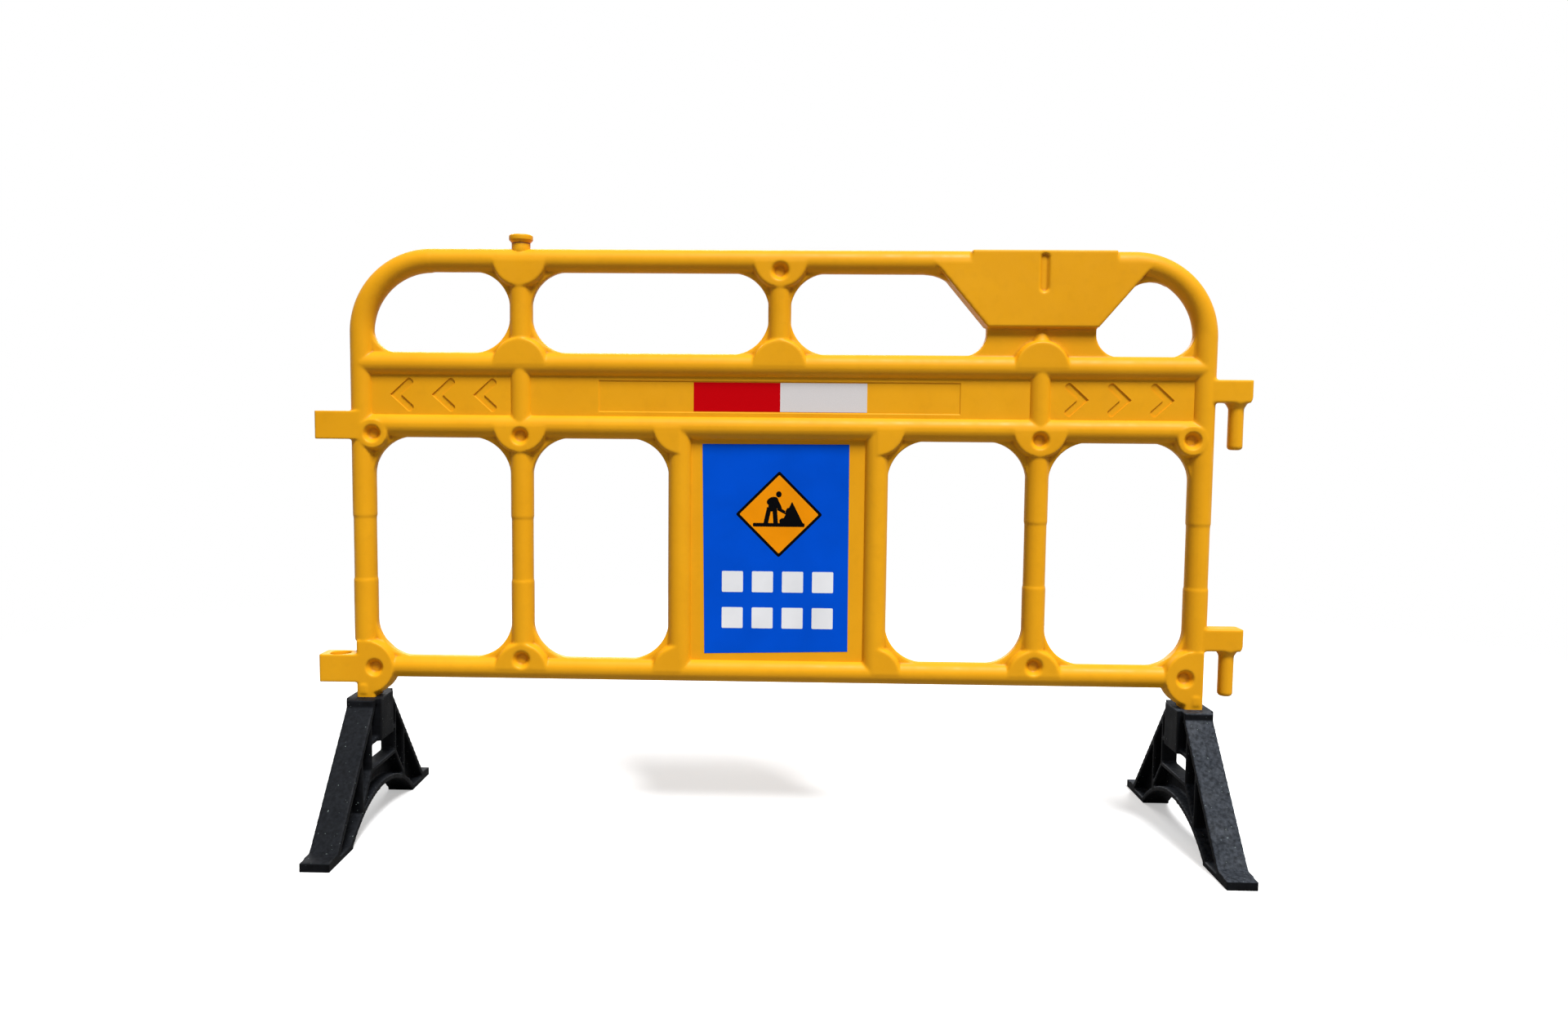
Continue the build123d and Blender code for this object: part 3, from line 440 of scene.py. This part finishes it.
# %% Round the feet
FOOT_VOXEL = 0.002
for side in ("left_foot", "right_foot"):
    foot = melt(copy_of(side + "_moulded", [side]), FOOT_VOXEL)
    finish(foot, foot_plastic, side)
    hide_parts(side)

# %% [markdown]
# ## Filler neck, cap and seal
# These are turned shapes. Half of each outline is drawn from one vertex, point by point, and spun
# round the axis of the neck. Their places come from the boxes of the CAD nodes, so the fit stays.

# %% Turn a shape
SPIN_STEPS, TURNED_EDGE = 64, 0.0003


def turned(name, outline, closed):
    """Spin an outline, a list of (radius, height) in metres, round the axis of the neck."""
    bpy.ops.mesh.primitive_plane_add(size=0.001, location=(neck_x, 0, 0))
    made = bpy.context.object
    made.name = name
    bpy.ops.object.transform_apply(location=True, rotation=False, scale=False)
    bpy.ops.object.mode_set(mode="EDIT")
    bpy.ops.mesh.select_mode(type="VERT")
    bpy.ops.mesh.select_all(action="SELECT")
    bpy.ops.mesh.merge(type="CENTER")
    points = outline + outline[:1] if closed else outline
    bpy.ops.transform.translate(value=(points[0][0], 0, points[0][1]))
    for (r0, z0), (r1, z1) in zip(points, points[1:]):
        bpy.ops.mesh.extrude_vertices_move(TRANSFORM_OT_translate={"value": (r1 - r0, 0, z1 - z0)})
    bpy.ops.mesh.select_all(action="SELECT")
    bpy.ops.mesh.spin(steps=SPIN_STEPS, angle=2 * pi, center=(neck_x, 0, 0), axis=(0, 0, 1))
    weld()
    return bevel(made, TURNED_EDGE)


def tube_outline(inner, outer, bottom, top):
    """Half the outline of a short tube."""
    return [(inner, bottom), (outer, bottom), (outer, top), (inner, top)]


print("turning ready")

# %% Neck, cap and seal
BORE, STEM, TAPER, ROUND, NECK_ROOT = 0.012, 0.0117, 0.005, 0.003, 0.0025
neck_r, head_r = (neck_high.x - neck_low.x) / 2, (stem_high.x - stem_low.x) / 2
seal_low, seal_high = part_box("cap_seal")
seat, crown = seal_high.z, stem_high.z
steps = [t * pi / 12 for t in range(7)]
arc = [(head_r - ROUND + ROUND * cos(t), crown - ROUND + ROUND * sin(t)) for t in steps]
cap_outline = [(0, stem_low.z), (STEM, stem_low.z), (STEM, seat), (neck_r, seat),
               (head_r, seat + TAPER), *arc, (0, crown)]
neck_outline = tube_outline(BORE, neck_r, neck_low.z - NECK_ROOT, neck_high.z)
neck = turned("filler_neck_turned", neck_outline, True)
cap = turned("filler_cap_turned", cap_outline, False)
ring = turned("cap_seal_turned", tube_outline(BORE, neck_r, seal_low.z, seat), True)
for piece, node, material, body, slot_name in (
        (neck, "filler_neck", yellow, "panel", "moulding"),
        (cap, "filler_cap", yellow, "filler_cap", "cap"),
        (ring, "cap_seal", seal, "filler_cap", "seal")):
    finish(piece, material, body)
    bpy.ops.object.shade_smooth_by_angle(angle=SHARP_ANGLE)
    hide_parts(node)

# %% [markdown]
# ## Films
# The sign is a blue sheet with the usual amber diamond and digging figure. Its two lines of words
# are plain white blocks. Each layer is a closed wafer a little in front of the last one, as in
# screen printing. Sheets like this are stuck on by hand, so `STUCK` moves each corner a few
# millimetres. The two films of the reflective strip keep their CAD shape.

# %% Wafers of print
LAYER, MM = 0.00012, 1000
low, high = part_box("sign_film")
face_y = low.y
diamond_x, diamond_z = 0.0025, 0.5572


def round_corners(made, corner):
    """Round the corners of a wafer: the edges that run from its front to its back."""
    points = made.data.vertices
    pick(made, "edges", lambda e: len({round(points[v].co.y, 6) for v in e.vertices}) > 1)
    bpy.ops.mesh.bevel(offset=corner / MM, segments=4)
    bpy.ops.object.mode_set(mode="OBJECT")


def wafer(sides, x, z, width, height, turn, layer, material, corner=0.0):
    """A thin closed tile on the film, in mm from the middle of the diamond."""
    bpy.ops.mesh.primitive_cylinder_add(vertices=sides, radius=0.5, depth=1)
    made = bpy.context.object
    made.rotation_euler = (pi / 2, 0, 0)
    bpy.ops.object.transform_apply(location=False, rotation=True, scale=False)
    made.scale = (width / MM, LAYER, height / MM)
    made.rotation_euler = (0, turn, 0)
    made.location = (diamond_x + x / MM, face_y - layer * LAYER, diamond_z + z / MM)
    bpy.ops.object.transform_apply(location=True, rotation=True, scale=True)
    if corner:
        round_corners(made, corner)
    made.data.materials.append(material)
    return made


def block(x, z, width, height, turn, layer, material, corner):
    """A four-sided wafer with its sides upright: a diamond turned by an eighth."""
    made = wafer(4, 0, 0, 2 ** 0.5, 2 ** 0.5, pi / 4, layer, material)
    made.scale = (width, 1, height)
    made.location = (diamond_x * (1 - width), 0, diamond_z * (1 - height))
    bpy.ops.object.transform_apply(location=True, rotation=True, scale=True)
    bpy.ops.object.mode_set(mode="EDIT")
    bpy.ops.mesh.select_all(action="SELECT")
    if turn:
        centre = (diamond_x, face_y, diamond_z)
        bpy.ops.transform.rotate(value=turn, orient_axis="Y", center_override=centre)
    bpy.ops.transform.translate(value=(x / MM, 0, z / MM))
    bpy.ops.object.mode_set(mode="OBJECT")
    round_corners(made, corner)
    return made


print("film face at", round(face_y, 5))

# %% Sign
STUCK = ((-1, 1, -5.9, 2.5), (1, 1, -2.6, 3.4), (-1, -1, -0.8, -2.5), (1, -1, -0.9, 3.5))
BORDER, FIELD, FIGURE = 1, 2, 3
BORDER_SIZE, FIELD_SIZE = 151.4, 138.0
BLOCK_SIZE, BLOCK_PITCH, FIRST_BLOCK, BLOCK_ROWS = 37.0, 52.7, -80.5, (-119.0, -183.0)
sheet = copy_of("sign_print", ["sign_film"])
middle = (low + high) / 2
for hand, rise, x, z in STUCK:
    pick(sheet, "vertices", lambda v: (v.co.x - middle.x) * hand > 0 and (v.co.z - middle.z) * rise > 0)
    bpy.ops.transform.translate(value=(x / MM, 0, z / MM))
bpy.ops.object.mode_set(mode="OBJECT")
sheet.data.materials.append(blue)
parts = [sheet]
parts.append(wafer(4, 0, 0, BORDER_SIZE, BORDER_SIZE, 0, BORDER, black, 3.0))
parts.append(wafer(4, 0, 0, FIELD_SIZE, FIELD_SIZE, 0, FIELD, amber, 2.0))
for row in BLOCK_ROWS:
    for column in range(4):
        x = FIRST_BLOCK + BLOCK_PITCH * column
        parts.append(block(x, row, BLOCK_SIZE, BLOCK_SIZE, 0, BORDER, white, 2.0))
print("sheet, diamond and", len(parts) - 3, "white blocks")


# %% Digging figure
def stroke(x0, z0, x1, z1, width):
    """A black limb from one point to another."""
    angle = atan2(z1 - z0, x1 - x0)
    length = hypot(x1 - x0, z1 - z0)
    return block((x0 + x1) / 2, (z0 + z1) / 2, length, width, angle, FIGURE, black, 1.0)


def patch(sides, x, z, width, height, turn, corner=0.0):
    """A black shape with this many sides."""
    return wafer(sides, x, z, width, height, turn, FIGURE, black, corner)


head = patch(32, -0.6, 35.2, 9.8, 10.8, 0)
limbs = [patch(32, -11.5, 23.3, 21.0, 14.0, -0.35),
         stroke(-10.8, 26.0, -11.2, 5.0, 15.2),
         stroke(-5.5, 25.0, 1.8, 9.0, 7.8),
         stroke(-1.0, 10.5, 10.0, 4.0, 4.8),
         stroke(-3.0, 9.0, 15.0, 0.0, 3.0),
         stroke(-17.0, 12.0, -23.3, -17.0, 8.0),
         stroke(-7.6, 10.0, -5.6, -17.0, 8.0)]
heap = [patch(3, 22.7, -6.1, 50.0, 57.0, 0, 1.0),
        patch(9, 9.2, -12.6, 18.0, 13.0, 0.2),
        patch(7, 16.5, 5.6, 10.5, 14.0, 0.4)]
ground = block(-0.3, -18.4, 90.2, 6.4, 0, FIGURE, black, 2.0)
for shape in (*limbs, *heap, ground):
    apply(head, "BOOLEAN", object=shape, operation="UNION", solver="EXACT")
only(*limbs, *heap, ground)
bpy.ops.object.delete()
parts.append(head)
sign = join("sign_print", parts)
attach(sign, "panel")
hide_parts("sign_film")
print("sign", len(sign.data.polygons), "faces")

# %% Reflective strip
for name, material in (("tape_red", strip_red), ("tape_white", strip_white)):
    nodes[name].data.materials.clear()
    nodes[name].data.materials.append(material)
print("strip finished")

# %% [markdown]
# ## Studio
# The floor is pale where the camera sees it and fades into the pale background further out, so no
# horizon shows behind the windows. It throws back less light than it shows, because the
# undersides of the tubes are dark on the real thing. One large soft light hangs far off, above the
# front and to the right, so the foot of the barrier is lit as well as its top and the uprights
# darken towards their left. A second one lights the back and the crowns of the tubes.

# %% Floor
FLOOR_SIZE, FADE_FROM, FADE_TO = 16, 1.3, 3.0
FLOOR_BOUNCE, FLOOR_SEEN, FLOOR_GLOW = 0.25, 0.75, 0.42
bpy.ops.mesh.primitive_plane_add(size=FLOOR_SIZE, location=(0, 0, 0))
floor = bpy.context.object
floor.name = "floor"
floor_paint, tree, shader, place = new_material("floor_paint", (0.5, 0.5, 0.5), 0.9, 0.1)
seen = tree.nodes.new("ShaderNodeLightPath").outputs["Is Camera Ray"]
paint = ramp(tree, seen, [(0.0, grey(FLOOR_BOUNCE)), (1.0, grey(FLOOR_SEEN))])
glow = ramp(tree, seen, [(0.0, grey(0.0)), (1.0, grey(FLOOR_GLOW))])
tree.links.new(paint, shader.inputs["Base Color"])
tree.links.new(glow, shader.inputs["Emission Color"])
shader.inputs["Emission Strength"].default_value = 1.0
distance = tree.nodes.new("ShaderNodeVectorMath")
distance.operation = "LENGTH"
tree.links.new(place, distance.inputs[0])
far = tree.nodes.new("ShaderNodeMapRange")
far.inputs["From Min"].default_value = FADE_FROM
far.inputs["From Max"].default_value = FADE_TO
far.interpolation_type = "SMOOTHSTEP"
tree.links.new(distance.outputs["Value"], far.inputs["Value"])
clear = tree.nodes.new("ShaderNodeBsdfTransparent")
fade = tree.nodes.new("ShaderNodeMixShader")
tree.links.new(far.outputs["Result"], fade.inputs["Fac"])
tree.links.new(shader.outputs["BSDF"], fade.inputs[1])
tree.links.new(clear.outputs["BSDF"], fade.inputs[2])
tree.links.new(fade.outputs["Shader"], tree.nodes["Material Output"].inputs["Surface"])
floor.data.materials.append(floor_paint)
print("floor laid")

# %% Background
SKY_LIGHT, SKY_SEEN = 0.15, 1.0
scene = bpy.context.scene
world = bpy.data.worlds.new("studio")
scene.world = world
world.use_nodes = True
tree = world.node_tree
path = tree.nodes.new("ShaderNodeLightPath")
seen = path.outputs["Is Camera Ray"]
for kind in ("Is Glossy Ray", "Is Transmission Ray"):
    either = tree.nodes.new("ShaderNodeMath")
    either.operation = "MAXIMUM"
    tree.links.new(seen, either.inputs[0])
    tree.links.new(path.outputs[kind], either.inputs[1])
    seen = either.outputs["Value"]
shown = ramp(tree, seen, [(0.0, grey(SKY_LIGHT)), (1.0, grey(SKY_SEEN))])
tree.links.new(shown, tree.nodes["Background"].inputs["Color"])
print("background set")

# %% Lights
AIM = Vector((0, 0, 0.65))


def soft_light(name, place, width, depth, power):
    """A large flat light pointed at the middle of the barrier."""
    bpy.ops.object.light_add(type="AREA", location=place)
    light = bpy.context.object
    light.name = name
    light.data.shape = "RECTANGLE"
    light.data.size = width
    light.data.size_y = depth
    light.data.energy = power
    light.rotation_euler = (AIM - Vector(place)).to_track_quat("-Z", "Y").to_euler()


soft_light("overhead", (5.3, -11.3, 22.3), 6.0, 9.0, 9650)
soft_light("behind", (-1.5, 7.0, 4.5), 4.0, 3.0, 330)
print("studio lit")

# %% [markdown]
# ## Camera
# Its place and lens were worked out from the corners of the barrier in the photograph.

# %% Camera
FOCAL, CENTRE_X, WIDTH, SENSOR = 1361.27, 919.83, 1920, 36
YAW, PITCH, ROLL = -0.02654, 0.07356, 0.00887
STAND = (0.00519, -1.9416, 0.7132)
forward = Vector((sin(YAW) * cos(PITCH), cos(YAW) * cos(PITCH), -sin(PITCH)))
right = Vector((cos(YAW), -sin(YAW), 0))
down = forward.cross(right)
right = right * cos(ROLL) - down * sin(ROLL)
down = forward.cross(right)
bpy.ops.object.camera_add()
camera = bpy.context.object
camera.matrix_world = Matrix((right, -down, -forward)).transposed().to_4x4()
camera.location = STAND
camera.data.sensor_fit = "HORIZONTAL"
camera.data.sensor_width = SENSOR
camera.data.lens = SENSOR * FOCAL / WIDTH
camera.data.shift_x = (WIDTH / 2 - CENTRE_X) / WIDTH
scene.camera = camera
scene.view_settings.view_transform = "Standard"
print("camera set, lens", round(camera.data.lens, 2))
